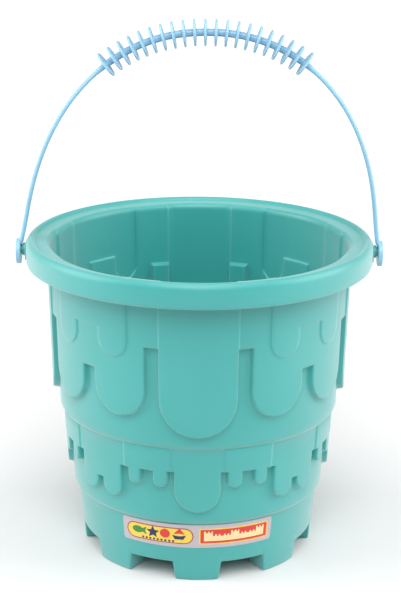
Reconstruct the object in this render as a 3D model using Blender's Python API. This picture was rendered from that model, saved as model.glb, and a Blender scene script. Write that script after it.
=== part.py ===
"""Toy sand bucket: a castle-mould bucket with eight hollow feet, a bail handle and a label.

Metres, +Z up. The origin is on the ground under the middle of the bucket, and the front faces -Y.
An angle round the bucket is 0 at the front and grows towards +X.
"""

import math
from collections import namedtuple

import bmesh
import bpy
from mathutils import Matrix, Vector

MM = 0.001

# Shell. The raised relief and the base behind it have the same wall thickness all over.
WALL = 2.0 * MM
RELIEF_DEPTH = 3.6 * MM
PANEL_RAISE = 1.0 * MM
SIDE_DRAFT = 0.6 * MM
EDGE_DRAFT = 0.8 * MM
REPEATS = 8

# Each tier: its face is a cone, radius = face_at_ground + face_slope * height.
Tier = namedtuple("Tier", "top bottom face_at_ground face_slope ledge_drop ledge_radius tongues slot_tops")
# A tongue of raised face: its middle (degrees), half width (degrees) and lowest height.
Tongue = namedtuple("Tongue", "middle half_width low raise_by")

UPPER = Tier(
    205.2 * MM, 98.3 * MM, 94.8 * MM, 0.0271, 2.8 * MM, 91.2 * MM,
    (Tongue(0, 14.5, 108 * MM, PANEL_RAISE), Tongue(31, 11, 118 * MM, 0)),
    (166 * MM, 147 * MM),
)
MIDDLE = Tier(
    97.2 * MM, 44.6 * MM, 86.4 * MM, 0.051, 2.6 * MM, 82.1 * MM,
    (
        Tongue(0, 9.6, 53 * MM, 0),
        Tongue(15.45, 2.95, 70 * MM, 0),
        Tongue(26.7, 2.7, 70 * MM, 0),
        Tongue(38.45, 5.05, 57 * MM, 0),
    ),
    (82 * MM, 81.5 * MM, 81.5 * MM, 68.6 * MM),
)

# Lowest tier, floor and the eight hollow feet.
LOWER_TOP = 43.6 * MM
LOWER_AT_GROUND = 78.1 * MM
LOWER_SLOPE = 0.1
LOWER_SIDES = 56
FLOOR_UNDER = 13.0 * MM
FLOOR_TOP = 15.0 * MM
FOOT_COUNT = 8
FOOT_INNER = 62.0 * MM
FOOT_HALF_TOP = 11.6
FOOT_HALF_GROUND = 10.6
FOOT_WALL = 2.2 * MM

# Rim: a rolled edge with an open channel under it, as (radius, height) in mm from the middle of
# its flat top, over the bead, down the outside and back up inside the channel to the wall.
RIM_TOP = 213.6 * MM
RIM_SECTION = (
    (99.0, 211.1), (108.4, 211.3), (109.4, 212.7), (111.2, 213.6), (113.6, 212.3), (115.0, 208.6),
    (115.0, 199.0), (113.4, 197.2), (112.9, 208.2), (110.6, 210.6), (103.4, 208.6),
)
# The rounded edge of the mouth, from above the rim down to the inside of the wall.
MOUTH_SECTION = ((107.0, 216.0), (103.4, 210.8), (101.3, 208.8), (100.0, 205.6))

# Pivot studs on the rim, and the flats that they stand on.
PIVOT_HEIGHT = 203.4 * MM
FLAT_OUT = 115.5 * MM
FLAT_IN = 113.5 * MM
FLAT_WIDTH = 20.0 * MM
FLAT_LOW = 198.4 * MM
FLAT_HIGH = 209.4 * MM
SHOULDER_RADIUS = 4.3 * MM
SHOULDER_OUT = 117.7 * MM
NECK_RADIUS = 3.0 * MM
HEAD_RADIUS = 4.2 * MM
HEAD_IN = 120.3 * MM
HEAD_OUT = 121.4 * MM
STUD_SIDES = 20

# Handle: a superellipse bail, 21 grip fins and two eyes.
BAIL_HALF_WIDTH = 116.0 * MM
BAIL_HEIGHT = 144.6 * MM
BAIL_POWER = 2.15
FLARE = 4.4 * MM
FLARE_FADE = 12.0 * MM
BAR_START = 5.2 * MM
BAR_THICK = 3.0 * MM
BAR_WIDE = 6.4 * MM
GRIP_THICK = 4.6 * MM
GRIP_WIDE = 6.0 * MM
FIN_COUNT = 21
FIN_PITCH = 7.0 * MM
FIN_RADIUS = 8.95 * MM
FIN_ROOT = 2.4 * MM
FIN_TIP = 1.5 * MM
FIN_SIDES = 12
EYE_RADIUS = 8.5 * MM
EYE_DROP = 1.2 * MM
EYE_IN = 118.8 * MM
EYE_OUT = 121.7 * MM
EYE_HOLE = 3.4 * MM
EYE_SINK_RADIUS = 4.6 * MM
EYE_SINK_IN = 120.0 * MM
EYE_SIDES = 28

# Label on the front of the lowest tier.
LABEL_HALF = 36.4
LABEL_LOW = 24.6 * MM
LABEL_HIGH = 41.4 * MM
LABEL_GAP = 0.3 * MM
LABEL_THICK = 0.4 * MM

TEAL = (0.022, 0.36, 0.33)
SKY_BLUE = (0.30, 0.62, 0.78)
SILVER = (0.55, 0.50, 0.56)


def clear_scene():
    for obj in list(bpy.data.objects):
        bpy.data.objects.remove(obj)


def plastic(name, colour, roughness):
    material = bpy.data.materials.new(name)
    material.use_nodes = True
    shader = material.node_tree.nodes["Principled BSDF"]
    shader.inputs["Base Color"].default_value = (*colour, 1)
    shader.inputs["Roughness"].default_value = roughness
    shader.inputs["Metallic"].default_value = 0
    return material


def around(radius, degrees, height):
    """The point at this radius and height, at this angle from the front."""
    angle = math.radians(degrees)
    return Vector((radius * math.sin(angle), -radius * math.cos(angle), height))


def new_object(name, mesh_data, material=None):
    """A mesh object from a bmesh, triangulated and facing out."""
    bmesh.ops.triangulate(mesh_data, faces=mesh_data.faces)
    bmesh.ops.recalc_face_normals(mesh_data, faces=mesh_data.faces)
    mesh = bpy.data.meshes.new(name)
    mesh_data.to_mesh(mesh)
    mesh_data.free()
    obj = bpy.data.objects.new(name, mesh)
    bpy.context.scene.collection.objects.link(obj)
    if material:
        mesh.materials.append(material)
    return obj


def helper(name, mesh_data):
    """An object that only shapes others."""
    obj = new_object(name, mesh_data)
    obj.hide_render = True
    obj.display_type = "WIRE"
    return obj


def shape_with(obj, tool, operation):
    modifier = obj.modifiers.new(tool.name, "BOOLEAN")
    modifier.operation = operation
    modifier.object = tool
    modifier.solver = "EXACT"


def add_loft(mesh_data, rings):
    """Skins a stack of equal rings of points and caps both ends."""
    loops = [[mesh_data.verts.new(point) for point in ring] for ring in rings]
    for upper, lower in zip(loops, loops[1:]):
        for i in range(len(upper)):
            j = (i + 1) % len(upper)
            mesh_data.faces.new((upper[i], lower[i], lower[j], upper[j]))
    mesh_data.faces.new(loops[0])
    mesh_data.faces.new(list(reversed(loops[-1])))


def face_radius(tier, height):
    return tier.face_at_ground + tier.face_slope * height


def folded(degrees):
    """The same place in the first eighth of the pattern, which mirrors and repeats."""
    turned = degrees % 90
    return min(turned, 90 - turned)


def half_angle(tongue, tier, inset):
    return tongue.half_width - math.degrees(inset / face_radius(tier, tongue.low))


def raised_edge(tier, degrees, inset):
    """(lowest height of the raised face at this angle, how much the face stands proud there)."""
    here = folded(degrees)
    for tongue in tier.tongues:
        half = half_angle(tongue, tier, inset)
        offset = abs(here - tongue.middle)
        if offset <= half + 1e-6:
            round_radius = math.radians(half) * face_radius(tier, tongue.low)
            rise = round_radius * (1 - math.sqrt(max(0, 1 - (offset / half) ** 2)))
            return tongue.low + inset + rise, tongue.raise_by
    passed = [tongue for tongue in tier.tongues if tongue.middle < here]
    return tier.slot_tops[len(passed) - 1] + inset, 0


def eighth_stops(tier, inset):
    """Angles in the first eighth where the outline of the raised face turns."""
    stops = set()
    for tongue in tier.tongues:
        half = half_angle(tongue, tier, inset)
        outside = half + math.degrees(SIDE_DRAFT / face_radius(tier, tongue.low))
        turns = (0, 40, 70, 90) if tongue.half_width > 8 else (45, 90)
        steps = [half * math.sin(math.radians(turn)) for turn in turns] + [outside]
        stops |= {tongue.middle + side * step for step in steps for side in (-1, 1)}
    return sorted(stop for stop in stops if 0 <= stop <= 45)


def all_stops(tier, inset):
    first = eighth_stops(tier, inset)
    second = [90 - stop for stop in reversed(first) if stop not in (0, 45)]
    return [90 * quarter + stop for quarter in range(4) for stop in first + second]


def tier_form(tier, inset, top, section=()):
    """A solid of one tier's outer surface, or with an inset of its inner surface.

    section is what stands over the tier, the same at every angle, as (radius, height) in mm.
    """
    stops = all_stops(tier, inset)
    rings = [[around(radius * MM, turn, height * MM) for turn in stops] for radius, height in section]
    rings += [[] for _ in range(5)]
    for degrees in stops:
        edge, proud = raised_edge(tier, degrees, inset)
        below = edge - EDGE_DRAFT
        foot = tier.bottom + inset
        sunk = -RELIEF_DEPTH - inset
        places = (
            (face_radius(tier, top) + proud - inset, top),
            (face_radius(tier, edge) + proud - inset, edge),
            (face_radius(tier, below) + sunk, below),
            (face_radius(tier, foot) + sunk, foot),
            (tier.ledge_radius - inset, foot - tier.ledge_drop),
        )
        for ring, (radius, height) in zip(rings[-5:], places):
            ring.append(around(radius, degrees, height))
    mesh_data = bmesh.new()
    add_loft(mesh_data, rings)
    return mesh_data


def lower_form(bottom, inset):
    sides = [360 * side / LOWER_SIDES for side in range(LOWER_SIDES)]
    rings = [
        [around(LOWER_AT_GROUND + LOWER_SLOPE * height - inset, degrees, height) for degrees in sides]
        for height in (LOWER_TOP + inset, bottom)
    ]
    mesh_data = bmesh.new()
    add_loft(mesh_data, rings)
    return mesh_data


def add_wedge(mesh_data, middle, inner, outer, halves, heights, steps):
    """A sector block, with a half angle and outer radius for its top and for its bottom."""
    rings = []
    for half, far, height in zip(halves, outer, heights):
        spread = [half * (2 * step / steps - 1) for step in range(steps + 1)]
        arc_out = [around(far, middle + turn, height) for turn in spread]
        arc_in = [around(inner, middle + turn, height) for turn in reversed(spread)]
        rings.append(arc_out + arc_in)
    add_loft(mesh_data, rings)


def notch_form():
    """What is missing under the floor: the gaps between the feet and the middle."""
    mesh_data = bmesh.new()
    gap_top = 180 / FOOT_COUNT - FOOT_HALF_TOP
    gap_ground = 180 / FOOT_COUNT - FOOT_HALF_GROUND
    reach = LOWER_AT_GROUND + 5 * MM
    heights = (FLOOR_UNDER, -1 * MM)
    for foot in range(FOOT_COUNT):
        middle = (foot + 0.5) * 360 / FOOT_COUNT
        inner = FOOT_INNER - 4 * MM
        add_wedge(mesh_data, middle, inner, (reach, reach), (gap_top, gap_ground), heights, 5)
    return mesh_data


def under_form():
    mesh_data = bmesh.new()
    sides = [360 * side / 48 for side in range(48)]
    rings = [[around(FOOT_INNER, turn, height) for turn in sides] for height in (FLOOR_UNDER, -1 * MM)]
    add_loft(mesh_data, rings)
    return mesh_data


def pocket_form():
    """The hollow of each foot, open to the inside of the bucket."""
    mesh_data = bmesh.new()
    side_wall = math.degrees(FOOT_WALL / (LOWER_AT_GROUND - 8 * MM))
    heights = (FLOOR_TOP + 0.5 * MM, FOOT_WALL)
    outer = [LOWER_AT_GROUND + LOWER_SLOPE * height - FOOT_WALL for height in heights]
    halves = (FOOT_HALF_TOP - side_wall, FOOT_HALF_GROUND - side_wall)
    for foot in range(FOOT_COUNT):
        middle = foot * 360 / FOOT_COUNT
        add_wedge(mesh_data, middle, FOOT_INNER + FOOT_WALL, outer, halves, heights, 6)
    return mesh_data


def add_turned(mesh_data, profile, sides, centre_height, side):
    """A body turned about a line along X: profile is (x, radius) pairs, side is -1 or 1."""
    rings = []
    for x, radius in profile:
        turns = [2 * math.pi * step / sides for step in range(sides)]
        rings.append([
            Vector((side * x, radius * math.sin(turn), centre_height + radius * math.cos(turn)))
            for turn in turns
        ])
    add_loft(mesh_data, rings)


def add_block(mesh_data, low, high):
    made = bmesh.ops.create_cube(mesh_data, size=1)
    size = Vector(high) - Vector(low)
    middle = (Vector(high) + Vector(low)) / 2
    place = Matrix.Translation(middle) @ Matrix.Diagonal((*size, 1))
    bmesh.ops.transform(mesh_data, matrix=place, verts=made["verts"])


def flats_form():
    mesh_data = bmesh.new()
    half = FLAT_WIDTH / 2
    add_block(mesh_data, (FLAT_IN, -half, FLAT_LOW), (FLAT_OUT, half, FLAT_HIGH))
    add_block(mesh_data, (-FLAT_OUT, -half, FLAT_LOW), (-FLAT_IN, half, FLAT_HIGH))
    return mesh_data


def studs_form():
    profile = (
        (FLAT_IN + 0.6 * MM, SHOULDER_RADIUS),
        (SHOULDER_OUT, SHOULDER_RADIUS),
        (SHOULDER_OUT, NECK_RADIUS),
        (HEAD_IN, NECK_RADIUS),
        (HEAD_IN, HEAD_RADIUS),
        (HEAD_OUT - 0.5 * MM, HEAD_RADIUS),
        (HEAD_OUT, HEAD_RADIUS - 0.8 * MM),
    )
    mesh_data = bmesh.new()
    for side in (-1, 1):
        add_turned(mesh_data, profile, STUD_SIDES, PIVOT_HEIGHT, side)
    return mesh_data


def make_bucket():
    outside = tier_form(UPPER, 0, UPPER.top, RIM_SECTION)
    inside = tier_form(UPPER, WALL, UPPER.top - WALL, MOUTH_SECTION)
    body = new_object("bucket_body", outside, plastic("teal plastic", TEAL, 0.38))
    shape_with(body, helper("upper_inside", inside), "DIFFERENCE")
    shape_with(body, helper("middle_outside", tier_form(MIDDLE, 0, MIDDLE.top)), "UNION")
    shape_with(body, helper("middle_inside", tier_form(MIDDLE, WALL, UPPER.bottom)), "DIFFERENCE")
    shape_with(body, helper("lower_outside", lower_form(0, 0)), "UNION")
    shape_with(body, helper("foot_gaps", notch_form()), "DIFFERENCE")
    shape_with(body, helper("under_floor", under_form()), "DIFFERENCE")
    shape_with(body, helper("lower_inside", lower_form(FLOOR_TOP, WALL)), "DIFFERENCE")
    shape_with(body, helper("foot_pockets", pocket_form()), "DIFFERENCE")
    shape_with(body, helper("rim_flats", flats_form()), "UNION")
    shape_with(body, helper("pivot_studs", studs_form()), "UNION")
    return body


def bail_point(height):
    """Half width of the bail at this height over the pivots, flared out to meet the eyes."""
    share = min(1, max(0, height / BAIL_HEIGHT))
    curve = BAIL_HALF_WIDTH * (1 - share**BAIL_POWER) ** (1 / BAIL_POWER)
    return curve + FLARE * math.exp(-height / FLARE_FADE)


def bail_line(steps=400):
    """Points of the bail's middle line as (x, height), from the +X end to the -X end."""
    quarter = []
    for step in range(steps + 1):
        turn = math.pi / 2 * step / steps
        height = BAIL_HEIGHT * math.sin(turn) ** (2 / BAIL_POWER)
        if height >= BAR_START:
            quarter.append((bail_point(height), height))
    quarter[-1] = (0, BAIL_HEIGHT)
    return quarter + [(-x, height) for x, height in reversed(quarter[:-1])]


def lengths_along(line):
    total = [0]
    for (x0, h0), (x1, h1) in zip(line, line[1:]):
        total.append(total[-1] + math.hypot(x1 - x0, h1 - h0))
    return total


def place_on(line, lengths, distance):
    """(point, direction along the bail) at this distance from its first end."""
    index = next(i for i in range(1, len(lengths)) if lengths[i] >= distance or i == len(lengths) - 1)
    share = (distance - lengths[index - 1]) / (lengths[index] - lengths[index - 1])
    (x0, h0), (x1, h1) = line[index - 1], line[index]
    point = Vector((x0 + share * (x1 - x0), 0, PIVOT_HEIGHT + h0 + share * (h1 - h0)))
    return point, Vector((x1 - x0, 0, h1 - h0)).normalized()


def bar_form(line, lengths, stations=44, sides=8):
    rings = []
    middle = lengths[-1] / 2
    grip = FIN_PITCH * FIN_COUNT / 2
    for station in range(stations + 1):
        distance = lengths[-1] * station / stations
        point, along = place_on(line, lengths, distance)
        outward = Vector((along.z, 0, -along.x))
        gripped = min(1, max(0, (grip + 6 * MM - abs(distance - middle)) / (12 * MM)))
        thick = BAR_THICK + gripped * (GRIP_THICK - BAR_THICK)
        wide = BAR_WIDE + gripped * (GRIP_WIDE - BAR_WIDE)
        rings.append([])
        for side in range(sides):
            turn = 2 * math.pi * (side + 0.5) / sides
            stretch = 1 / math.cos(math.pi / sides)
            across = outward * (thick / 2 * math.cos(turn) * stretch)
            rings[-1].append(point + across + Vector((0, wide / 2 * math.sin(turn) * stretch, 0)))
    mesh_data = bmesh.new()
    add_loft(mesh_data, rings)
    return mesh_data


def fins_form(line, lengths):
    mesh_data = bmesh.new()
    profile = (
        (-FIN_ROOT / 2, 1.5 * MM),
        (-FIN_TIP / 2, FIN_RADIUS),
        (FIN_TIP / 2, FIN_RADIUS),
        (FIN_ROOT / 2, 1.5 * MM),
    )
    for fin in range(FIN_COUNT):
        distance = lengths[-1] / 2 + (fin - (FIN_COUNT - 1) / 2) * FIN_PITCH
        point, along = place_on(line, lengths, distance)
        outward = Vector((along.z, 0, -along.x))
        rings = []
        for offset, radius in profile:
            turns = [2 * math.pi * side / FIN_SIDES for side in range(FIN_SIDES)]
            rings.append([
                point + along * offset
                + outward * (radius * math.cos(turn)) + Vector((0, radius * math.sin(turn), 0))
                for turn in turns
            ])
        add_loft(mesh_data, rings)
    return mesh_data


def eyes_form():
    edge = 0.5 * MM
    profile = (
        (EYE_IN, EYE_RADIUS - edge),
        (EYE_IN + edge, EYE_RADIUS),
        (EYE_OUT - edge, EYE_RADIUS),
        (EYE_OUT, EYE_RADIUS - edge),
    )
    mesh_data = bmesh.new()
    for side in (-1, 1):
        add_turned(mesh_data, profile, EYE_SIDES, PIVOT_HEIGHT - EYE_DROP, side)
    return mesh_data


def eye_holes_form():
    profile = (
        (EYE_IN - 3 * MM, EYE_HOLE),
        (EYE_SINK_IN, EYE_HOLE),
        (EYE_SINK_IN, EYE_SINK_RADIUS),
        (EYE_OUT + 1 * MM, EYE_SINK_RADIUS),
    )
    mesh_data = bmesh.new()
    for side in (-1, 1):
        add_turned(mesh_data, profile, STUD_SIDES, PIVOT_HEIGHT, side)
    return mesh_data


def make_handle():
    line = bail_line()
    lengths = lengths_along(line)
    handle = new_object("handle", bar_form(line, lengths), plastic("sky blue plastic", SKY_BLUE, 0.4))
    shape_with(handle, helper("grip_fins", fins_form(line, lengths)), "UNION")
    shape_with(handle, helper("eyes", eyes_form()), "UNION")
    shape_with(handle, helper("eye_holes", eye_holes_form()), "DIFFERENCE")
    pivot = bpy.data.objects.new("handle_pivot", None)
    pivot.location = (0, 0, PIVOT_HEIGHT)
    bpy.context.scene.collection.objects.link(pivot)
    for piece in (handle, bpy.data.objects["grip_fins"], bpy.data.objects["eyes"],
                  bpy.data.objects["eye_holes"]):
        piece.data.transform(Matrix.Translation((0, 0, -PIVOT_HEIGHT)))
        piece.parent = pivot
    return handle


def make_label():
    steps = 28
    rings = []
    for step in range(steps + 1):
        degrees = LABEL_HALF * (2 * step / steps - 1)
        near = LOWER_AT_GROUND + LABEL_GAP
        far = near + LABEL_THICK
        corners = ((near, LABEL_LOW), (far, LABEL_LOW), (far, LABEL_HIGH), (near, LABEL_HIGH))
        rings.append([around(r + LOWER_SLOPE * height, degrees, height) for r, height in corners])
    mesh_data = bmesh.new()
    add_loft(mesh_data, rings)
    return new_object("label", mesh_data, plastic("label film", SILVER, 0.35))


def main():
    clear_scene()
    for piece in (make_bucket(), make_handle(), make_label()):
        piece.data.shade_smooth()
        piece.data.set_sharp_from_angle(angle=math.radians(35))


main()
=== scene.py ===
"""Looks of the toy sand bucket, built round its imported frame.

Lengths are in millimetres until a mesh is made. An angle round the bucket is in degrees, 0 at the
front (-Y), and grows towards +X.
"""

import math
from collections import namedtuple

import bmesh
import bpy
import numpy as np
from mathutils import Matrix, Vector


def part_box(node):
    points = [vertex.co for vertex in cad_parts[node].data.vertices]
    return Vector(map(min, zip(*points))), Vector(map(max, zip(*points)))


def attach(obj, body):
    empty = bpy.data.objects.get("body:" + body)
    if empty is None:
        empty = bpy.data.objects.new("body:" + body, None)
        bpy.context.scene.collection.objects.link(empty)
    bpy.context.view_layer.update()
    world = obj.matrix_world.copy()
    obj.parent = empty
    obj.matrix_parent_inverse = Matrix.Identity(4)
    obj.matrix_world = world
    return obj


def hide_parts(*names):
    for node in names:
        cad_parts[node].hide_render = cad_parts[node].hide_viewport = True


MM = 0.001
QUARTER = 90
EIGHTH = 45

# A tier of the wall: its face is a cone, radius = at_ground + slope * height, and below its slots and
# tongues the wall steps back by the relief's depth. slots[k] is the top of the slot before tongue k.
# A tongue's middle and half width are in degrees, and low is the height of its round end.
Tier = namedtuple("Tier", "top bottom at_ground slope ledge_drop ledge_radius tongues slots")
Tongue = namedtuple("Tongue", "middle half low")

UPPER = Tier(
    204.4, 99.9, 94.8, 0.0271, 2.6, 91.4,
    (Tongue(0, 14.5, 108), Tongue(31, 11, 118)),
    (166, 166, 146),
)
MIDDLE = Tier(
    96.9, 44.6, 86.4, 0.051, 2.6, 82.1,
    (Tongue(0, 9.6, 53), Tongue(15.45, 2.95, 70), Tongue(26.7, 2.7, 70), Tongue(38.45, 5.05, 57)),
    (81.2, 81.2, 80.8, 80.4, 67.6),
)
# A thin second layer on the upper tier, open towards the front panel.
NO_SLOT = 1000
UPPER_LAYER = UPPER._replace(tongues=(Tongue(32.95, 6.25, 157),), slots=(NO_SLOT, 175))
UPPER_LAYER_HEIGHT = 0.8
PANEL_HEIGHT = 1.0
# The middle tier's second layer lies between two angles.
MIDDLE_LAYER = (11.0, 31.4)
MIDDLE_LAYER_HEIGHT = 0.7

# (distance inside the outline of a raised area, depth below its face), across a rounded step.
DEEP_STEP = (
    (-1.1, 3.6), (-0.7, 3.42), (-0.45, 2.95), (-0.1, 1.15), (0.15, 0.42), (0.5, 0.1), (1.1, 0),
)
COARSE_STEP = ((-0.9, 3.6), (-0.5, 3.1), (-0.05, 0.8), (0.7, 0))
THIN_STEP = ((-0.6, 1), (-0.2, 0.82), (0.15, 0.2), (0.6, 0))
# The rows beside an outline reach this far to either side of it, and stay this far apart.
ROUND_MARGIN = 2.2
ROW_GAP = 0.35
LEAST_DROP = 0.03
# The last row of a face over its ledge, and the narrowest column in degrees.
OVER_LEDGE = 1.2
LEAST_TURN = 0.09
# Rows pass from the slot on one side of a tongue to the next between these shares of its half width.
CROSS_FROM = 0.88
CROSS_TO = 0.45
# On the side of the thin layer that is open, its rows rise by this over so many degrees.
OPEN_RISE = 4.2
OPEN_RUN = 5

WALL = 2.0
RELIEF_DEPTH = 3.6
# (outwards, up) from the sharp corners of a ledge, round its edge and into its root.
LEDGE_EDGE = ((-0.12, 0.45), (-0.55, 0.02))
LEDGE_ROOT = ((1.1, 0.75), (0.4, 0.3))
# (widest column in degrees, rows filled in between) of each tier's surfaces.
UPPER_OUTSIDE = (1.5, 3)
MIDDLE_OUTSIDE = (1.4, 2)
UPPER_INSIDE = (2.6, 2)
MIDDLE_INSIDE = (2.4, 1)

# Rim, from the flat inner top outwards over the bead, down and back under it: (radius, height).
RIM = (
    (104.0, 210.95), (106.4, 211.2), (108.2, 211.35), (108.8, 211.5), (109.2, 211.95), (109.9, 212.9),
    (110.6, 213.4), (111.4, 213.6), (112.4, 213.3), (113.4, 212.5), (114.3, 211.1), (114.8, 209.5),
    (115.0, 207.6), (115.0, 203.5), (115.0, 199.6), (114.85, 198.5), (114.4, 197.6), (113.8, 197.25),
    (113.2, 197.4), (112.9, 198.2), (112.8, 203.0), (112.6, 207.0), (111.9, 208.6), (110.4, 209.4),
    (107.0, 209.1), (103.6, 208.7),
)
# Its flat top goes on inwards over the mouth's edge.
MOUTH = ((103.1, 210.9), (102.2, 210.85))
# (how far outside the wall, height) where the wall runs into the rim, outside and inside.
RIM_ROOT = ((1.7, 208.2), (0.7, 207.4), (0.15, 206.2))
MOUTH_ROOT = ((2.35, 210.75), (1.5, 210.4), (0.85, 209.75), (0.4, 208.9), (0.12, 207.8), (0.02, 206.4))

# Lowest tier and its eight feet. Feet is used for the outer surface and for the hollow inside: the
# two half widths of a foot are in degrees, at the ground and at its top.
LOWER_AT_GROUND = 78.1
LOWER_SLOPE = 0.1
LOWER_TOP = 41.6
LOWER_ROWS = 5
PLAIN_OVER_FEET = 5
FOOT_COUNT = 8
Feet = namedtuple("Feet", "inset ground ceiling inner half_ground half_top")
OUTSIDE_FEET = Feet(0, 0, 13.0, 62.0, 10.6, 11.6)
INSIDE_FEET = Feet(WALL, 2.2, 15.0, 64.2, 8.95, 9.95)
# The widest columns, in degrees.
FEET_OUTSIDE_WIDEST = 1.6
FEET_INSIDE_WIDEST = 2.4
# Columns across a foot's upright edge: (distance inside the edge, lift off the ground, set back).
FOOT_EDGE = (
    (2.0, 0, 0), (1.1, 0.1, 0.03), (0.55, 0.36, 0.16), (0.18, 0.85, 0.45), (0, 1.6, 0.9),
    (-0.1, 11.6, 0.9), (-0.2, 12.4, 0.5), (-0.55, 12.8, 0.16), (-1.2, 13, 0),
)
FOOT_EDGE_HEIGHT = FOOT_EDGE[-1][1]
# Degrees outside a foot's edge that still taper with it, and the height over which set back ends.
TAPER_REACH = 0.2
BACK_FADE = 1.2
# (height over the lowest edge, set back) round the bottom edge of the wall.
GROUND_EDGE = ((1.5, 0), (0.75, 0.14), (0.3, 0.42), (0.06, 0.85), (0, 1.5))
# Under a foot's inner edge, (outwards, up) from the ground, and then (outwards, down) from the floor.
FOOT_INNER_EDGE = ((1.2, 0), (0.6, 0.12), (0.25, 0.5), (0.1, 1.2))
FLOOR_EDGE = ((0, 1.0), (-0.25, 0.4), (-0.6, 0.1), (-1.2, 0))
FLOOR_RINGS = (50, 36, 22, 10, 3)

# Handle: a superellipse bail with 21 grip fins and two eyes. The bail's heights are over its pivots.
PIVOT_HEIGHT = 203.4
BAIL_HALF_WIDTH = 116.0
BAIL_HEIGHT = 144.6
BAIL_POWER = 2.15
FLARE = 4.4
FLARE_FADE = 12.0
BAR_START = 5.2
BAR_THICK = 3.0
BAR_WIDE = 6.4
# The power of the bar's section: 1 is round, and less is squarer.
BAR_POWER = 0.72
GRIP_THICK = 4.6
GRIP_WIDE = 6.0
GRIP_FADE = 12
# The bail is springy, and its top stands this far to the +X side.
LEAN = 4.2
# The direction of the bail is measured this far before and after a place.
LOOK = 0.4
FIN_COUNT = 21
FIN_PITCH = 6.85
FIN_RADIUS = 8.95
FIN_ROOT = 2.6
FIN_TIP = 1.4
FIN_RINGS = (1.4, 2.8, 4.4, 6.0, 7.4, 8.3)
FIN_POWER = 1.2
# Eye, once round its section: (distance from the middle of the bucket, radius).
EYE_OUT = 121.7
EYE = (
    (118.8, 3.4), (118.8, 8.5), (EYE_OUT, 8.5), (EYE_OUT, 4.8), (120.1, 4.7), (120.0, 3.4), (118.8, 3.4),
)
EYE_ROUNDING = 0.5
# The eye's outline lies lower than its hole: the drop grows from this radius over this width.
EYE_DROP = 1.2
DROP_FROM = 4.8
DROP_OVER = 3.2
# Stud, from the rim out to its head: (distance from the middle of the bucket, radius).
STUD = (
    (113.6, 0.4), (113.6, 4.3), (117.7, 4.3), (117.7, 3.0), (120.35, 3.0), (120.35, 4.1), (121.3, 4.1),
    (121.3, 0.4),
)
STUD_ROUNDING = 0.45
PAD_SIZE = (2.4, 20, 11)
PAD_PLACE = (114.25, 0, 203.9)
PAD_ROUNDING = 0.7
# A rounding takes at most this share of the sides that meet in its corner.
ROUNDING_SHARE = 0.45

# Sticker: a ground, and on it two panels between these angles.
LABEL_HALF = 36.4
LABEL_CORNER = 1.6
PANEL_MARGIN = 2.6
PILL = (-34.2, -1.6)
PILL_BORDER = 0.7
FLAG = (0.9, 34.2)
FLAG_BORDER = 0.8
FLAG_CORNER = 0.5
FLAG_INNER_CORNER = 0.3
# (bottom, top) of each printed layer over the wall.
GROUND_FILM = (0.02, 0.28)
BORDER_FILM = (0.25, 0.33)
PANEL_FILM = (0.3, 0.38)
PICTURE_FILM = (0.35, 0.43)
# Each picture on the pill: (distance from its left end, height over the row, size). The row lies a
# little over the middle.
PICTURE_ROW = 0.9
FISH = (8.0, 0, 4.8)
STAR = (18.4, 0, 4.6)
BALL = (26.3, 0.2, 3.3)
BOAT = (35.3, 0, 4.4)
# The boat's outlines, in units of its size.
HULL = ((-1.0, -0.1), (-0.6, -0.8), (0.6, -0.8), (1.0, -0.1))
SAILS = ((-0.8, 0.1), (0.8, 0.1), (0.1, 1.1))
DOT_COUNT = 9
DOT_START = 11.5
DOT_PITCH = 2.5
DOT_HEIGHT = 1.7
DOT_RADIUS = 0.8
# Castle on the flag: heights are from the middle. Every third of its seven cells is a tower.
CASTLE_MARGIN = 3.0
CASTLE_BASE = -3.4
CASTLE_WALL = 1.5
CASTLE_TOWER = 3.7
CASTLE_CELLS = 7
# Five teeth and gaps to a cell: just under 5, so that a cell's end still counts as its fifth.
TEETH = 4.99
TOOTH = 1.3

# Camera: degrees down, to the right and rolled, then its place and its lens in millimetres.
CAMERA_PITCH = 17.1
CAMERA_YAW = 0.0596
CAMERA_ROLL = 0.465
CAMERA_PLACE = (-0.08, -1033.2, 486.2)
CAMERA_LENS = 96.2
SENSOR_WIDTH = 36

# Stage. Its places and sizes are in metres, and its angles in degrees.
WORLD_STRENGTH = 0.35
FLOOR_HALF = 6
FLOOR_GREY = 0.7
LIGHT_TARGET = (0, 0, 0.16)
# Each softbox: (name, place, size, watts).
SOFTBOXES = (
    ("left softbox", (-1.15, -0.1, 0.75), 1.0, 13),
    ("right softbox", (1.15, -0.1, 0.75), 1.0, 13),
    ("top softbox", (0, -0.3, 1.25), 0.9, 5),
)
SUN_STRENGTH = 1.75
SUN_ANGLE = 40
SUN_TILT = 45

Plastic = namedtuple("Plastic", "colour lighter roughness grain sheen")
TEAL = Plastic((0.023, 0.312, 0.295), (0.030, 0.340, 0.322), 0.4, 0.25, 0.45)
SKY_BLUE = Plastic((0.215, 0.445, 0.615), (0.235, 0.475, 0.655), 0.38, 0.2, 0.3)


def around(radius, degrees, height):
    """Points at these radii, angles and heights, as one array of (x, y, z)."""
    angle = np.radians(degrees)
    places = np.broadcast_arrays(radius * np.sin(angle), -radius * np.cos(angle), height)
    return np.stack(places, axis=-1).astype(float)


def following(angles, index):
    """The next angle in a ring, once round to its first, and then none."""
    if index + 1 < len(angles):
        return angles[index + 1]
    return angles[0] + 360 if index < len(angles) else math.inf


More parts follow.
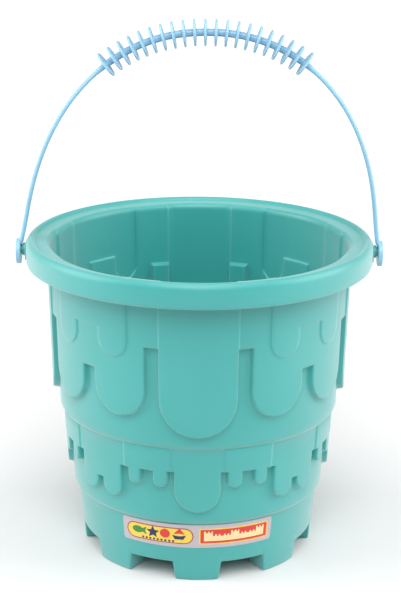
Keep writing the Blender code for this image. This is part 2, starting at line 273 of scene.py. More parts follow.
class Skin:
    """A surface laid ring by ring round the bucket, in millimetres."""

    def __init__(self):
        self.points = []
        self.faces = []
        self.angles = None
        self.first = 0
        self.inward = False

    def add(self, angles, radius, height, places=None):
        """Lays one more ring and joins it to the last. angles sort its points, places say where they lie."""
        where = angles if places is None else places
        ring = around(radius, where, height * np.ones(len(angles)))
        start = len(self.points)
        self.points.extend(ring.tolist())
        if self.angles is not None:
            self.join(self.angles, self.first, angles, start)
        self.angles, self.first = angles, start
        return start

    def join(self, upper, i0, lower, j0):
        """Joins two rings: by quads where their angles agree, and otherwise by triangles."""
        if len(upper) == len(lower) and np.allclose(upper, lower):
            count = len(upper)
            for i in range(count):
                j = (i + 1) % count
                self.face(i0 + i, j0 + i, j0 + j, i0 + j)
            return
        i = j = 0
        while i < len(upper) or j < len(lower):
            a, b = i0 + i % len(upper), j0 + j % len(lower)
            if following(upper, i) <= following(lower, j):
                i += 1
                self.face(a, b, i0 + i % len(upper))
            else:
                j += 1
                self.face(a, b, j0 + j % len(lower))

    def face(self, *corners):
        self.faces.append(corners[::-1] if self.inward else corners)

    def close(self, height):
        """Ends the surface in a point on the axis."""
        pole = len(self.points)
        self.points.append([0, 0, height])
        count = len(self.angles)
        for i in range(count):
            self.face(self.first + i, pole, self.first + (i + 1) % count)


def add_object(name, data):
    obj = bpy.data.objects.new(name, data)
    bpy.context.scene.collection.objects.link(obj)
    return obj


def mesh_of(name, points, faces):
    mesh = bpy.data.meshes.new(name)
    places = np.array([tuple(point) for point in points], float) * MM
    mesh.from_pydata(places.tolist(), [], faces)
    return mesh


def bucket_piece(name, mesh, material, smooth=40):
    """A piece of the bucket's body, with the material on it."""
    mesh.materials.append(material)
    obj = add_object(name, mesh)
    finish_mesh(obj, smooth)
    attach(obj, "bucket")
    return obj


def finish_mesh(obj, smooth):
    """Welds what coincides, turns the faces out and shades the round parts smooth."""
    mesh_data = bmesh.new()
    mesh_data.from_mesh(obj.data)
    bmesh.ops.dissolve_degenerate(mesh_data, dist=2e-6, edges=mesh_data.edges)
    bmesh.ops.recalc_face_normals(mesh_data, faces=mesh_data.faces)
    mesh_data.to_mesh(obj.data)
    mesh_data.free()
    obj.data.shade_smooth()
    obj.data.set_sharp_from_angle(angle=math.radians(smooth))


# ---- Relief of the wall ----


def face_radius(tier, height):
    return tier.at_ground + tier.slope * height


def degree(tier, tongue):
    """The length of one degree along the face, in millimetres."""
    return math.radians(face_radius(tier, tongue.low))


def tongue_centre(tier, tongue):
    """The height of the middle of a tongue's round end."""
    return tongue.low + tongue.half * degree(tier, tongue)


def tongue_distance(tier, tongue, here, height, inset):
    """How far a place lies inside a tongue's outline."""
    half = tongue.half * degree(tier, tongue) - inset
    across = np.abs(here - tongue.middle) * degree(tier, tongue)
    below = np.minimum(height - tongue_centre(tier, tongue), 0)
    return half - np.hypot(across, below)


def raised_distance(tier, here, height, inset):
    """How far a place lies inside the raised area: the tongues and all that is over the slots."""
    passed = sum((here > tongue.middle).astype(int) for tongue in tier.tongues)
    inside = height - (np.array(tier.slots, float)[passed] + inset)
    for tongue in tier.tongues:
        inside = np.maximum(inside, tongue_distance(tier, tongue, here, height, inset))
    return inside


def stepped(distance, step):
    """The depth below the face at this distance inside an outline."""
    places, depths = zip(*step)
    return np.interp(distance, places, depths)


def wall_radius(tier, here, height, inset, step):
    """Radius of the wall's outer surface, or with an inset of its inner surface."""
    depth = stepped(raised_distance(tier, here, height, inset), step)
    raised = 1 - depth / RELIEF_DEPTH
    if tier is UPPER:
        panel = tongue_distance(UPPER, UPPER.tongues[0], here, height, inset)
        layer = raised_distance(UPPER_LAYER, here, height, inset)
        proud = PANEL_HEIGHT * (1 - stepped(panel, THIN_STEP))
        proud = proud + UPPER_LAYER_HEIGHT * (1 - stepped(layer, THIN_STEP)) * raised
    else:
        first, last = MIDDLE_LAYER
        edge = np.minimum(here - first, last - here) * degree(tier, tier.tongues[0]) - inset
        proud = MIDDLE_LAYER_HEIGHT * (1 - stepped(edge, THIN_STEP)) * raised
    return face_radius(tier, height) - inset - depth + proud


def slot_line(tier, here):
    """The height of the slots' tops at each angle, running across the tongues between them."""
    places, heights = [], []
    for k, tongue in enumerate(tier.tongues):
        before = tier.slots[k] if tier.slots[k] < NO_SLOT else tier.slots[k + 1]
        places += [tongue.middle - share * tongue.half for share in (CROSS_FROM, CROSS_TO)]
        heights += [before, tier.slots[k + 1]]
    return np.interp(here, places, heights)


def centre_line(tier, here):
    """The height of the middle of the tongues' round ends at each angle."""
    places, heights = [], []
    for tongue in tier.tongues:
        places += [tongue.middle - tongue.half, tongue.middle + tongue.half]
        heights += 2 * [tongue_centre(tier, tongue)]
    if tier.slots[0] == NO_SLOT:
        places.insert(0, places[0] - OPEN_RUN)
        heights.insert(0, heights[0] + OPEN_RISE)
    return np.interp(here, places, heights)


def cluster(tier, here, inset, step):
    """Rows of heights that follow the slots' tops and then the tongues' round ends."""
    distances = [ROUND_MARGIN] + [place for place, _ in reversed(step)] + [-ROUND_MARGIN]
    rows = [slot_line(tier, here) + inset + distance for distance in distances]
    all_inside = [tongue_distance(tier, tongue, here, NO_SLOT, inset) for tongue in tier.tongues]
    nearest = np.argmax(all_inside, axis=0)
    half = np.array([tongue.half * degree(tier, tongue) - inset for tongue in tier.tongues])[nearest]
    across = half - np.max(all_inside, axis=0)
    centre = centre_line(tier, here)
    for row, distance in enumerate(distances):
        reach = np.sqrt(np.maximum((half - distance) ** 2 - across**2, 0))
        rows.append(centre - np.maximum(reach, ROW_GAP * (row + 1)))
    return rows


def between(upper, lower, count):
    """Rows evenly spaced between two, without either."""
    return [upper + (lower - upper) * step / (count + 1) for step in range(1, count + 1)]


def wall_rows(tier, here, inset, step, fill):
    """All rows of a tier's face from its top to its ledge, each a height at every angle."""
    top = tier.top * np.ones(len(here))
    bottom = (tier.bottom + inset + OVER_LEDGE) * np.ones(len(here))
    main = cluster(tier, here, inset, step)
    half = len(main) // 2
    rows = [top]
    if tier is UPPER:
        thin = cluster(UPPER_LAYER, here, inset, THIN_STEP)
        rows += between(top, thin[0], fill) + thin
    rows += between(rows[-1], main[0], 1 if tier is UPPER else fill)
    rows += main[:half] + between(main[half - 1], main[half], fill) + main[half:]
    rows += between(rows[-1], bottom, fill) + [bottom]
    for upper, lower in zip(rows, rows[1:]):
        np.minimum(lower, upper - LEAST_DROP, out=lower)
    return rows


def eighth_stops(tier, inset, step, widest):
    """Angles in the first eighth: close together across each upright edge, and filled in between."""
    stops = [0.0, float(EIGHTH)]
    edges = [(tongue, step) for tongue in tier.tongues]
    if tier is UPPER:
        edges += [(tongue, THIN_STEP) for tongue in UPPER_LAYER.tongues]
    for tongue, profile in edges:
        half = tongue.half - inset / degree(tier, tongue)
        places = [place / degree(tier, tongue) for place, _ in profile]
        stops += [tongue.middle + side * (half - place) for place in places for side in (-1, 1)]
    if tier is MIDDLE:
        one = degree(tier, tier.tongues[0])
        for edge, side in zip(MIDDLE_LAYER, (1, -1)):
            stops += [edge + side * (inset + place) / one for place, _ in THIN_STEP]
    stops = sorted(stop for stop in stops if 0 <= stop <= EIGHTH)
    filled = [stops[0]]
    for stop in stops[1:]:
        gap = stop - filled[-1]
        if gap < LEAST_TURN:
            if stop == EIGHTH:
                filled[-1] = stop
            continue
        pieces = math.ceil(gap / widest)
        last = filled[-1]
        filled += [last + gap * piece / pieces for piece in range(1, pieces + 1)]
    return filled


def columns(tier, inset, step, widest):
    """Angles all the way round: the first eighth, mirrored and repeated."""
    first = eighth_stops(tier, inset, step, widest)
    second = [QUARTER - stop for stop in reversed(first) if 0 < stop < EIGHTH]
    return np.array([QUARTER * turn + stop for turn in range(4) for stop in first + second])


def folded(angles):
    """The same place in the first eighth of the pattern, which mirrors and repeats."""
    turned = angles % QUARTER
    return np.minimum(turned, QUARTER - turned)


def add_wall(skin, tier, inset, step, widest, fill):
    """One tier's relief, and the ledge under it."""
    angles = columns(tier, inset, step, widest)
    here = folded(angles)
    for height in wall_rows(tier, here, inset, step, fill):
        skin.add(angles, wall_radius(tier, here, height, inset, step), height)
    base = face_radius(tier, tier.bottom) - RELIEF_DEPTH - inset
    bottom = tier.bottom + inset
    inner = tier.ledge_radius - inset
    for out, up in LEDGE_EDGE:
        skin.add(angles, base + out, bottom + up)
    for out, up in LEDGE_ROOT:
        skin.add(angles, inner + out, bottom - tier.ledge_drop + up)


# ---- Lowest tier, feet and floor ----


def foot_columns(feet, widest):
    """Columns round the feet: (angle, middle of the foot, side, degrees inside its edge, lift, set back)."""
    rise = feet.ceiling - feet.ground
    one = math.radians(LOWER_AT_GROUND - feet.inset)
    half = feet.half_top * one
    gap = 180 / FOOT_COUNT * one - half
    scaled = [(inside, lift * rise / FOOT_EDGE_HEIGHT, back) for inside, lift, back in FOOT_EDGE]
    steps = math.ceil((half - scaled[0][0]) / one / widest)
    face = [(scaled[0][0] + (half - scaled[0][0]) * step / steps, 0, 0) for step in range(steps, 0, -1)]
    steps = math.ceil((gap + scaled[-1][0]) / one / widest)
    open_gap = [
        (scaled[-1][0] - (gap + scaled[-1][0]) * step / steps, rise, 0) for step in range(1, steps + 1)
    ]
    side = face + scaled + open_gap
    columns_found = []
    for foot in range(FOOT_COUNT):
        middle = foot * 360 / FOOT_COUNT
        for inside, lift, back in side:
            columns_found.append((middle + (half - inside) / one, middle, 1, inside / one, lift, back))
        for inside, lift, back in side[1:-1]:
            columns_found.append((middle - (half - inside) / one, middle, -1, inside / one, lift, back))
    return np.array(sorted(columns_found)).T


def add_feet(skin, feet, widest):
    """The lowest tier from its top down round the feet, and in under the floor to the axis."""
    sorting, middle, side, inside, lift, back = foot_columns(feet, widest)
    lift = lift + feet.ground
    draft = (feet.half_top - feet.half_ground) / (feet.ceiling - feet.ground)

    def add(radius, height):
        drop = np.maximum(feet.ceiling - height, 0)
        narrowed = 1 - draft * drop / feet.half_top
        across = feet.half_top - inside
        across = np.where(inside > -TAPER_REACH, across * narrowed, across)
        skin.add(sorting, radius, height, middle + side * across)

    def outer(height, extra):
        fade = np.clip((feet.ceiling + BACK_FADE / 2 - height) / BACK_FADE, 0, 1)
        return LOWER_AT_GROUND + LOWER_SLOPE * height - feet.inset - back * fade - extra

    start = feet.ceiling + PLAIN_OVER_FEET
    for step in range(LOWER_ROWS):
        height = LOWER_TOP + feet.inset + (start - LOWER_TOP - feet.inset) * step / (LOWER_ROWS - 1)
        add(outer(height, 0), height * np.ones(len(sorting)))
    lowest = lift + GROUND_EDGE[0][0]
    for height in between(start, lowest, 3):
        add(outer(height, 0), height)
    for over, extra in GROUND_EDGE:
        add(outer(lift + over, extra), lift + over)
    edge = outer(lift, GROUND_EDGE[-1][1])
    for radius in between(edge, feet.inner + FOOT_INNER_EDGE[0][0], 3):
        add(radius, lift)
    for out, over in FOOT_INNER_EDGE:
        add(feet.inner + out, np.minimum(lift + over, feet.ceiling))
    for out, under in FLOOR_EDGE:
        add(feet.inner + out, np.maximum(lift, feet.ceiling - under))
    for radius in FLOOR_RINGS:
        add(radius, feet.ceiling * np.ones(len(sorting)))
    skin.close(feet.ceiling)


def make_bucket(material):
    """The whole moulding: both sides of the wall, rim, ledges, floor and hollow feet."""
    skin = Skin()
    outside = columns(UPPER, 0, DEEP_STEP, UPPER_OUTSIDE[0])
    here = folded(outside)
    first = None
    for radius, height in RIM:
        start = skin.add(outside, radius, height)
        first = start if first is None else first
    for over, height in RIM_ROOT:
        skin.add(outside, wall_radius(UPPER, here, UPPER.top, 0, DEEP_STEP) + over, height)
    add_wall(skin, UPPER, 0, DEEP_STEP, *UPPER_OUTSIDE)
    add_wall(skin, MIDDLE, 0, DEEP_STEP, *MIDDLE_OUTSIDE)
    add_feet(skin, OUTSIDE_FEET, FEET_OUTSIDE_WIDEST)

    skin.inward = True
    skin.angles, skin.first = outside, first
    for radius, height in MOUTH:
        skin.add(outside, radius, height)
    inside = columns(UPPER, WALL, COARSE_STEP, UPPER_INSIDE[0])
    here = folded(inside)
    for over, height in MOUTH_ROOT:
        skin.add(inside, wall_radius(UPPER, here, UPPER.top, WALL, COARSE_STEP) + over, height)
    add_wall(skin, UPPER, WALL, COARSE_STEP, *UPPER_INSIDE)
    add_wall(skin, MIDDLE, WALL, COARSE_STEP, *MIDDLE_INSIDE)
    add_feet(skin, INSIDE_FEET, FEET_INSIDE_WIDEST)
    mesh = mesh_of("bucket_moulding", skin.points, skin.faces)
    body = bucket_piece("bucket_moulding", mesh, material)
    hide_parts("bucket_body")


# ---- Pivot studs and handle ----


def turned(profile, centre, side, sides=48):
    """A closed body turned about a line along X: profile is (x, radius) pairs, side is -1 or 1."""
    points, faces = [], []
    for x, radius in profile:
        for step in range(sides):
            turn = 2 * math.pi * step / sides
            points.append((side * x, radius * math.sin(turn), centre + radius * math.cos(turn)))
    last = len(profile) - 1
    for row in range(last):
        faces += quad_ring(row * sides, (row + 1) * sides, sides)
    faces.append(list(range(sides)))
    faces.append(list(range(last * sides, (last + 1) * sides)))
    return points, faces


def quad_ring(upper, lower, count):
    """The quads between two rings of points, given by the number of each ring's first point."""
    return [
        (upper + i, lower + i, lower + (i + 1) % count, upper + (i + 1) % count) for i in range(count)
    ]


def rounded(profile, radius, steps=4):
    """The profile with each inner corner replaced by a short arc."""
    out = [profile[0]]
    for before, corner, after in zip(profile, profile[1:], profile[2:]):
        before, corner, after = (np.array(point, float) for point in (before, corner, after))
        sides = (np.linalg.norm(end - corner) for end in (before, after))
        reach = min(radius, *(ROUNDING_SHARE * side for side in sides))
        start = corner + reach * (before - corner) / np.linalg.norm(before - corner)
        end = corner + reach * (after - corner) / np.linalg.norm(after - corner)
        for step in range(steps + 1):
            share = step / steps
            out.append(tuple((1 - share) ** 2 * start + 2 * share * (1 - share) * corner + share**2 * end))
    return out + [profile[-1]]


def pad_mesh(name, side):
    mesh_data = bmesh.new()
    bmesh.ops.create_cube(mesh_data, size=1)
    size = Matrix.Diagonal((*(length * MM for length in PAD_SIZE), 1))
    x, y, z = PAD_PLACE
    place = Matrix.Translation(Vector((side * x, y, z)) * MM)
    bmesh.ops.transform(mesh_data, matrix=place @ size, verts=mesh_data.verts)
    bmesh.ops.bevel(
        mesh_data, geom=mesh_data.edges, offset=PAD_ROUNDING * MM, segments=4, profile=0.5, affect="EDGES"
    )
    mesh = bpy.data.meshes.new(name)
    mesh_data.to_mesh(mesh)
    mesh_data.free()
    return mesh


def make_studs(material):
    """On each side of the rim, a flat pad and the stud that the handle's eye turns on."""
    profile = rounded(STUD, STUD_ROUNDING)
    for side, end in ((-1, "left"), (1, "right")):
        name = f"pivot_stud_{end}"
        bucket_piece(name, mesh_of(name, *turned(profile, PIVOT_HEIGHT, side)), material)
        name = f"pivot_pad_{end}"
        bucket_piece(name, pad_mesh(name, side), material, smooth=50)


def bail_half_width(height):
    share = min(1, max(0, height / BAIL_HEIGHT))
    curve = BAIL_HALF_WIDTH * (1 - share**BAIL_POWER) ** (1 / BAIL_POWER)
    return curve + FLARE * math.exp(-height / FLARE_FADE)


def bail_line(steps=1600):
    """Points of the bail's middle line as (x, height over the pivots), from +X to -X."""
    side = []
    for step in range(steps + 1):
        height = BAIL_HEIGHT * math.sin(math.pi / 2 * step / steps) ** (2 / BAIL_POWER)
        if height >= BAR_START:
            side.append((bail_half_width(height), height))
    side[-1] = (0, BAIL_HEIGHT)
    line = np.array(side + [(-x, height) for x, height in reversed(side[:-1])])
    line[:, 0] += LEAN * np.sin(np.pi / 2 * np.clip((line[:, 1] - BAR_START) / BAIL_HEIGHT, 0, 1))
    return line


class Bail:
    """The bail's middle line, read by distance along it."""

    def __init__(self):
        self.line = bail_line()
        steps = np.hypot(*np.diff(self.line, axis=0).T)
        self.lengths = np.concatenate([[0], np.cumsum(steps)])
        self.total = self.lengths[-1]

    def at(self, distance):
        """(point, direction along, direction outwards) at this distance from the +X end."""
        x, height = (np.interp(distance, self.lengths, column) for column in self.line.T)
        ahead = [np.interp(distance + LOOK, self.lengths, column) for column in self.line.T]
        behind = [np.interp(distance - LOOK, self.lengths, column) for column in self.line.T]
        along = Vector((ahead[0] - behind[0], 0, ahead[1] - behind[1])).normalized()
        return Vector((x, 0, PIVOT_HEIGHT + height)), along, Vector((along.z, 0, -along.x))


def bar_surface(bail, stations=150, sides=20):
    """The bar, a flattened round section that is thicker under the grip fins."""
    points, faces = [], []
    grip = FIN_PITCH * FIN_COUNT / 2
    for station in range(stations + 1):
        distance = bail.total * station / stations
        point, _, outward = bail.at(distance)
        gripped = (grip + GRIP_FADE / 2 - abs(distance - bail.total / 2)) / GRIP_FADE
        gripped = min(1, max(0, gripped))
        thick = BAR_THICK + gripped * (GRIP_THICK - BAR_THICK)
        wide = BAR_WIDE + gripped * (GRIP_WIDE - BAR_WIDE)
        for step in range(sides):
            turn = 2 * math.pi * step / sides
            over, across = (
                math.copysign(abs(value) ** BAR_POWER, value) for value in (math.cos(turn), math.sin(turn))
            )
            points.append(point + outward * (thick / 2 * over) + Vector((0, wide / 2 * across, 0)))
    for station in range(stations):
        faces += quad_ring(station * sides, (station + 1) * sides, sides)
    faces += [list(range(sides)), list(range(stations * sides, (stations + 1) * sides))]
    return points, faces


def fin_surface(bail, fin, sides=40):
    """One grip fin: a round disc that is thin at its rounded edge and thicker at the bar."""
    point, along, outward = bail.at(bail.total / 2 + (fin - (FIN_COUNT - 1) / 2) * FIN_PITCH)
    profile = []
    for radius in FIN_RINGS:
        share = radius / FIN_RADIUS
        profile.append((radius, (FIN_ROOT + (FIN_TIP - FIN_ROOT) * share**FIN_POWER) / 2))
    tip = FIN_TIP / 2
    for turn in (30, 60):
        angle = math.radians(turn)
        profile.append((FIN_RADIUS - tip + tip * math.sin(angle), tip * math.cos(angle)))
    section = [(radius, -half) for radius, half in profile] + [(FIN_RADIUS, 0)]
    section += [(radius, half) for radius, half in reversed(profile)]
    points, faces = [], []
    for radius, offset in section:
        for step in range(sides):
            turn = 2 * math.pi * step / sides
            spoke = outward * (radius * math.cos(turn)) + Vector((0, radius * math.sin(turn), 0))
            points.append(point + along * offset + spoke)
    for row in range(len(section) - 1):
        faces += quad_ring(row * sides, (row + 1) * sides, sides)
    last = (len(section) - 1) * sides
    faces += [list(range(sides)), list(range(last, last + sides))]
    return points, faces


def eye_surface(side, sides=48):
    """The ring at the end of the bail, countersunk on its outer face."""
    section = rounded(EYE, EYE_ROUNDING)[:-1]
    points, faces = [], []
    for x, radius in section:
        for step in range(sides):
            turn = 2 * math.pi * step / sides
            drop = EYE_DROP * min(1, max(0, (radius - DROP_FROM) / DROP_OVER))
            points.append((side * x, radius * math.sin(turn), PIVOT_HEIGHT - drop + radius * math.cos(turn)))
    count = len(section)
    for row in range(count):
        faces += quad_ring(row * sides, (row + 1) % count * sides, sides)
    return points, faces


def plain_object(name, points, faces):
    """An object with its faces turned out, to be joined into another."""
    mesh = mesh_of(name, points, faces)
    mesh_data = bmesh.new()
    mesh_data.from_mesh(mesh)
    bmesh.ops.recalc_face_normals(mesh_data, faces=mesh_data.faces)
    mesh_data.to_mesh(mesh)
    mesh_data.free()
    return add_object(name, mesh)


def make_handle(material):
    """The bail in one moulding: bar, fins and eyes joined into one closed surface."""
    bail = Bail()
    handle = plain_object("swing_handle", *bar_surface(bail))
    others = [fin_surface(bail, fin) for fin in range(FIN_COUNT)] + [eye_surface(-1), eye_surface(1)]
    parts = [plain_object(f"part_{index}", *surface) for index, surface in enumerate(others)]
    for part in parts:
        joined = handle.modifiers.new(part.name, "BOOLEAN")
        joined.operation = "UNION"
        joined.object = part
    bpy.context.view_layer.update()
    graph = bpy.context.evaluated_depsgraph_get()
    final = bpy.data.meshes.new_from_object(handle.evaluated_get(graph))
    handle.modifiers.clear()
    handle.data = final
    for part in parts:
        bpy.data.objects.remove(part)
    final.materials.clear()
    final.materials.append(material)
    finish_mesh(handle, 40)
    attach(handle, "handle")
    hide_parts("handle")


# ---- Sticker ----


def on_label(across, height, lift):
    """A point on the lowest tier, this far along it from the front, and this far off it."""
    radius = LOWER_AT_GROUND + LOWER_SLOPE * height + lift
    angle = across / LOWER_AT_GROUND
    return (radius * math.sin(angle), -radius * math.cos(angle), height)


def patch(name, outline, base, lift, material, rings=4):
    """A thin closed film on the lowest tier, filled from its middle. outline is (across, height) pairs."""
    middle = np.mean(outline, axis=0)
    count = len(outline)
    points, faces = [], []
    for level in (lift, base):
        for ring in range(rings, 0, -1):
            for place in outline:
                points.append(on_label(*(middle + (np.array(place) - middle) * ring / rings), level))
        points.append(on_label(*middle, level))
    size = rings * count + 1
    for ring in range(rings - 1):
        faces += quad_ring(ring * count, (ring + 1) * count, count)
        faces += [face[::-1] for face in quad_ring(size + ring * count, size + (ring + 1) * count, count)]
    for i in range(count):
        j = (i + 1) % count
        inner = (rings - 1) * count
        faces.append((inner + i, size - 1, inner + j))
        faces.append((size + inner + j, 2 * size - 1, size + inner + i))
    faces += quad_ring(size, 0, count)
    return bucket_piece(name, mesh_of(name, points, faces), material)


def band(name, low, high, outline_heights, base, lift, material, steps=60):
    """A thin closed film from one distance along the tier to another, between two curves."""
    points, faces = [], []
    for step in range(steps + 1):
        across = low + (high - low) * step / steps
        bottom, top = outline_heights(across)
        for height in (top, (2 * top + bottom) / 3, (top + 2 * bottom) / 3, bottom):
            points.append(on_label(across, height, lift))
        for height in (bottom, top):
            points.append(on_label(across, height, base))
    sides = 6
    for step in range(steps):
        faces += quad_ring(step * sides, (step + 1) * sides, sides)
    faces += [list(range(sides)), list(range(steps * sides, (steps + 1) * sides))]
    return bucket_piece(name, mesh_of(name, points, faces), material)


def rounded_box(low, high, bottom, top, radius):
    """(bottom, top) at a distance along the tier, for a box with round corners."""

    def heights(across):
        inside = min(across - low, high - across)
        cut = radius - math.sqrt(max(0, radius**2 - max(0, radius - inside) ** 2))
        return bottom + cut, top - cut

    return heights


def star(centre, size, points=5, depth=0.45):
    """A star's outline. depth is the share of its size at the corners between its points."""
    out = []
    for step in range(2 * points):
        reach = size if step % 2 == 0 else size * depth
        angle = math.pi * step / points
        out.append((centre[0] + reach * math.sin(angle), centre[1] + reach * math.cos(angle)))
    return out


def disc(centre, size, sides=24):
    return star(centre, size, sides // 2, 1.0)


def shape(centre, corners, size):
    return [(centre[0] + size * x, centre[1] + size * z) for x, z in corners]


def fish(centre, size):
    """A fish that swims to the left: an oval body with a forked tail."""
    body = [(0.8 * math.cos(angle), 0.52 * math.sin(angle)) for angle in np.radians(range(20, 341, 20))]
    return shape(centre, [*body, (1.3, -0.6), (1.08, 0), (1.3, 0.6)], size)


def castle(left, right, middle):
    """(bottom, top) at a distance along the tier, for a long sand castle with three towers."""
    width = (right - left) / CASTLE_CELLS

    def heights(across):
        place = (across - left) / width
        cell = min(int(place), CASTLE_CELLS - 1)
        is_tower = cell % 3 == 0
        top = middle + (CASTLE_TOWER if is_tower else CASTLE_WALL)
        tooth = int((place - cell) * TEETH) % 2 == 0
        return middle + CASTLE_BASE, top if tooth == is_tower else top - TOOTH

    return heights


def framed_panel(name, ends, heights, border, corners, colours):
    """A panel and the wider film under it that shows as its border."""
    low, high = ends
    bottom, top = heights
    outer, inner = corners
    box = rounded_box(low, high, bottom, top, outer)
    band(f"{name}_edge", low, high, box, *BORDER_FILM, colours[0])
    low, high = low + border, high - border
    box = rounded_box(low, high, bottom + border, top - border, inner)
    band(name, low, high, box, *PANEL_FILM, colours[1])


def make_label():
    """The sticker: a silvery ground with a yellow and a red panel of simple beach pictures."""
    low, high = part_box("label")
    bottom, top = low.z / MM, high.z / MM
    half = math.radians(LABEL_HALF) * LOWER_AT_GROUND
    silver = printed("silver film", (0.46, 0.41, 0.44), 0.42)
    box = rounded_box(-half, half, bottom, top, LABEL_CORNER)
    ground = band("label_ground", -half, half, box, *GROUND_FILM, silver, 90)
    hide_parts("label")
    yellow = printed("yellow print", (0.78, 0.55, 0.075), 0.4)
    red = printed("red print", (0.62, 0.035, 0.02), 0.4)
    dark_red = printed("dark red print", (0.33, 0.03, 0.02), 0.4)
    navy = printed("navy print", (0.012, 0.014, 0.075), 0.4)
    green = printed("green print", (0.04, 0.22, 0.03), 0.4)
    cream = printed("cream print", (0.80, 0.62, 0.33), 0.4)
    one = math.radians(1) * LOWER_AT_GROUND
    pill = [angle * one for angle in PILL]
    flag = [angle * one for angle in FLAG]
    heights = (bottom + PANEL_MARGIN, top - PANEL_MARGIN)
    radius = (heights[1] - heights[0]) / 2
    pill_corners = (radius, radius - PILL_BORDER)
    framed_panel("label_pill", pill, heights, PILL_BORDER, pill_corners, (dark_red, yellow))
    flag_corners = (FLAG_CORNER, FLAG_INNER_CORNER)
    framed_panel("label_flag", flag, heights, FLAG_BORDER, flag_corners, (yellow, red))
    middle = (heights[0] + heights[1]) / 2

    def spot(picture):
        return pill[0] + picture[0], middle + PICTURE_ROW + picture[1]

    pictures = (
        (fish(spot(FISH), FISH[2]), green),
        (star(spot(STAR), STAR[2]), navy),
        (disc(spot(BALL), BALL[2]), red),
        (shape(spot(BOAT), HULL, BOAT[2]), navy),
        (shape(spot(BOAT), SAILS, BOAT[2]), red),
    )
    for index, (outline, colour) in enumerate(pictures):
        patch(f"label_picture_{index}", outline, *PICTURE_FILM, colour)
    for index in range(DOT_COUNT):
        place = (pill[0] + DOT_START + DOT_PITCH * index, heights[0] + DOT_HEIGHT)
        patch(f"label_dot_{index}", disc(place, DOT_RADIUS, 12), *PICTURE_FILM, navy, 2)
    left, right = flag[0] + CASTLE_MARGIN, flag[1] - CASTLE_MARGIN
    band("label_castle", left, right, castle(left, right, middle), *PICTURE_FILM, cream, 140)


# ---- Materials ----


def link(tree, start, end):
    tree.links.new(start, end)


def new_material(name):
    """A material, its node tree, its shader and a node for the object's own coordinates."""
    material = bpy.data.materials.new(name)
    material.use_nodes = True
    tree = material.node_tree
    return material, tree, tree.nodes["Principled BSDF"], tree.nodes.new("ShaderNodeTexCoord")


def noise(tree, place, scale, detail=2):
    texture = tree.nodes.new("ShaderNodeTexNoise")
    texture.inputs["Scale"].default_value = scale
    texture.inputs["Detail"].default_value = detail
    link(tree, place.outputs["Object"], texture.inputs["Vector"])
    return texture


def vary_roughness(tree, texture, low, high):
    rough = tree.nodes.new("ShaderNodeMapRange")
    rough.inputs["To Min"].default_value = low
    rough.inputs["To Max"].default_value = high
    link(tree, texture.outputs["Fac"], rough.inputs["Value"])
    link(tree, rough.outputs["Result"], tree.nodes["Principled BSDF"].inputs["Roughness"])


def bumped(tree, texture, strength, depth):
    """A bump from the texture. depth is in millimetres."""
    bump = tree.nodes.new("ShaderNodeBump")
    bump.inputs["Strength"].default_value = strength
    bump.inputs["Distance"].default_value = depth * MM
    link(tree, texture.outputs["Fac"], bump.inputs["Height"])
    return bump


def painted_edge_highlight(tree, tint, look):
    """The colour of tint, turned paler where the surface is a sharp outer edge: a painted highlight along
    the edges.
    """
    geometry = tree.nodes.new("ShaderNodeNewGeometry")
    edges = tree.nodes.new("ShaderNodeMapRange")
    edges.inputs["From Min"].default_value = 0.53
    edges.inputs["From Max"].default_value = 0.62
    edges.inputs["To Max"].default_value = 0.35
    link(tree, geometry.outputs["Pointiness"], edges.inputs["Value"])
    # Sharp outer edges are mixed towards a paler colour: a painted highlight.
    edge_highlight = tree.nodes.new("ShaderNodeMix")
    edge_highlight.data_type = "RGBA"
    pale = [min(1, 1.35 * channel + 0.05) for channel in look.lighter]
    edge_highlight.inputs["B"].default_value = (*pale, 1)
    link(tree, edges.outputs["Result"], edge_highlight.inputs["Factor"])
    link(tree, tint.outputs["Color"], edge_highlight.inputs["A"])
    return edge_highlight.outputs["Result"]


def moulded(name, look):
    """Moulded plastic: slight cloudiness in the colour, a fine satin grain, and a painted highlight that
    turns sharp edges paler.
    """
    material, tree, shader, place = new_material(name)
    shader.inputs["IOR"].default_value = 1.49
    shader.inputs["Specular IOR Level"].default_value = 0.7
    shader.inputs["Sheen Weight"].default_value = look.sheen
    shader.inputs["Sheen Roughness"].default_value = 0.5

    cloud = noise(tree, place, scale=14, detail=4)
    tint = tree.nodes.new("ShaderNodeValToRGB")
    tint.color_ramp.elements[0].position = 0.3
    tint.color_ramp.elements[0].color = (*look.colour, 1)
    tint.color_ramp.elements[1].position = 0.75
    tint.color_ramp.elements[1].color = (*look.lighter, 1)
    link(tree, cloud.outputs["Fac"], tint.inputs["Fac"])
    link(tree, painted_edge_highlight(tree, tint, look), shader.inputs["Base Color"])

    smudge = noise(tree, place, scale=60, detail=6)
    vary_roughness(tree, smudge, look.roughness - 0.05, look.roughness + 0.07)
    waves = bumped(tree, noise(tree, place, scale=22, detail=1), strength=0.25, depth=0.6)
    grain = bumped(tree, noise(tree, place, scale=1400, detail=3), strength=look.grain, depth=0.06)
    link(tree, waves.outputs["Normal"], grain.inputs["Normal"])
    link(tree, grain.outputs["Normal"], shader.inputs["Normal"])
    return material


def printed(name, colour, roughness):
    """Ink on film: faint dots of the print in the colour, and a slightly uneven gloss."""
    material, tree, shader, place = new_material(name)
    screen = tree.nodes.new("ShaderNodeTexVoronoi")
    screen.inputs["Scale"].default_value = 1500
    link(tree, place.outputs["Object"], screen.inputs["Vector"])
    ink = tree.nodes.new("ShaderNodeValToRGB")
    ink.color_ramp.elements[0].color = (*[channel * 0.86 for channel in colour], 1)
    ink.color_ramp.elements[1].color = (*[min(1, channel * 1.08 + 0.01) for channel in colour], 1)
    link(tree, screen.outputs["Distance"], ink.inputs["Fac"])
    link(tree, ink.outputs["Color"], shader.inputs["Base Color"])

    gloss = noise(tree, place, scale=120)
    vary_roughness(tree, gloss, roughness - 0.08, roughness + 0.08)
    bump = bumped(tree, gloss, strength=0.15, depth=0.05)
    link(tree, bump.outputs["Normal"], shader.inputs["Normal"])
    return material


# ---- Stage ----


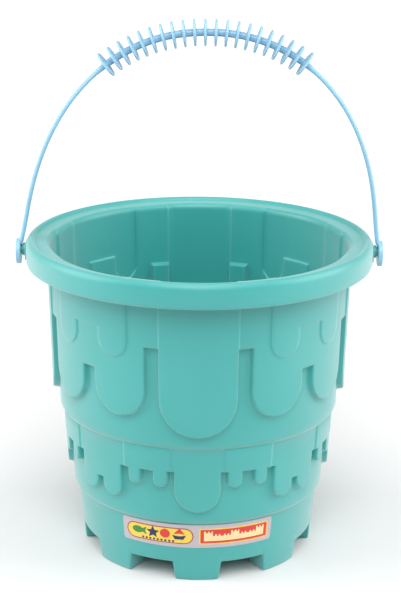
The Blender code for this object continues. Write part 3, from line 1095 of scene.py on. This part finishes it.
def add_camera():
    """The view over the rim, slightly above the bucket and a little rolled."""
    pitch, yaw, roll = (math.radians(angle) for angle in (CAMERA_PITCH, CAMERA_YAW, CAMERA_ROLL))
    forward = Vector((math.sin(yaw) * math.cos(pitch), math.cos(yaw) * math.cos(pitch), -math.sin(pitch)))
    level = Vector((math.cos(yaw), -math.sin(yaw), 0))
    upright = level.cross(forward)
    right = level * math.cos(roll) + upright * math.sin(roll)
    up = upright * math.cos(roll) - level * math.sin(roll)
    data = bpy.data.cameras.new("camera")
    data.lens = CAMERA_LENS
    data.sensor_width = SENSOR_WIDTH
    camera = add_object("camera", data)
    turn = Matrix((right, up, -forward)).transposed().to_4x4()
    camera.matrix_world = Matrix.Translation(Vector(CAMERA_PLACE) * MM) @ turn
    bpy.context.scene.camera = camera


def add_softbox(name, place, size, power):
    data = bpy.data.lights.new(name, "AREA")
    data.shape = "RECTANGLE"
    data.size = size
    data.size_y = size
    data.energy = power
    light = add_object(name, data)
    light.location = place
    light.rotation_euler = (Vector(LIGHT_TARGET) - Vector(place)).to_track_quat("-Z", "Y").to_euler()


def light_far_floor(tree):
    """The floor glows a little away from the object, so that it stays as pale there as near the lamps."""
    place = tree.nodes.new("ShaderNodeTexCoord")
    distance = tree.nodes.new("ShaderNodeVectorMath")
    distance.operation = "LENGTH"
    link(tree, place.outputs["Object"], distance.inputs[0])
    glow = tree.nodes.new("ShaderNodeMapRange")
    glow.inputs["From Min"].default_value = 0.3
    glow.inputs["From Max"].default_value = 1.6
    glow.inputs["To Max"].default_value = 0.6
    link(tree, distance.outputs["Value"], glow.inputs["Value"])
    link(tree, glow.outputs["Result"], tree.nodes["Principled BSDF"].inputs["Emission Strength"])


def add_stage():
    """White surroundings, a pale floor, a softbox at each side and over the object, and a soft sun."""
    scene = bpy.context.scene
    scene.view_settings.view_transform = "Standard"
    world = bpy.data.worlds.new("studio")
    world.use_nodes = True
    background = world.node_tree.nodes["Background"]
    background.inputs["Color"].default_value = (1, 1, 1, 1)
    background.inputs["Strength"].default_value = WORLD_STRENGTH
    scene.world = world
    mesh_data = bmesh.new()
    bmesh.ops.create_grid(mesh_data, x_segments=1, y_segments=1, size=FLOOR_HALF)
    mesh = bpy.data.meshes.new("floor")
    mesh_data.to_mesh(mesh)
    mesh_data.free()
    floor = add_object("floor", mesh)
    material = bpy.data.materials.new("pale floor")
    material.use_nodes = True
    shader = material.node_tree.nodes["Principled BSDF"]
    shader.inputs["Base Color"].default_value = (FLOOR_GREY, FLOOR_GREY, FLOOR_GREY, 1)
    shader.inputs["Emission Color"].default_value = (1, 1, 1, 1)
    shader.inputs["Roughness"].default_value = 0.9
    light_far_floor(material.node_tree)
    mesh.materials.append(material)
    for softbox in SOFTBOXES:
        add_softbox(*softbox)
    key = bpy.data.lights.new("key", "SUN")
    key.energy = SUN_STRENGTH
    key.angle = math.radians(SUN_ANGLE)
    add_object("key", key).rotation_euler = (math.radians(SUN_TILT), 0, 0)


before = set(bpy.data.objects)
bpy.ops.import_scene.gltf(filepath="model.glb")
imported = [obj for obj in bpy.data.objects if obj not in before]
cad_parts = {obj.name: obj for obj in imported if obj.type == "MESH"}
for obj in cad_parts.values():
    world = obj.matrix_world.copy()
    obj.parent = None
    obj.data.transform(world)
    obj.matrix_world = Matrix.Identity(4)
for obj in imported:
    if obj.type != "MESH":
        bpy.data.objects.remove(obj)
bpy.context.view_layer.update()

teal = moulded("teal polypropylene", TEAL)
make_bucket(teal)
make_studs(teal)
make_handle(moulded("sky blue polypropylene", SKY_BLUE))
make_label()
add_stage()
add_camera()
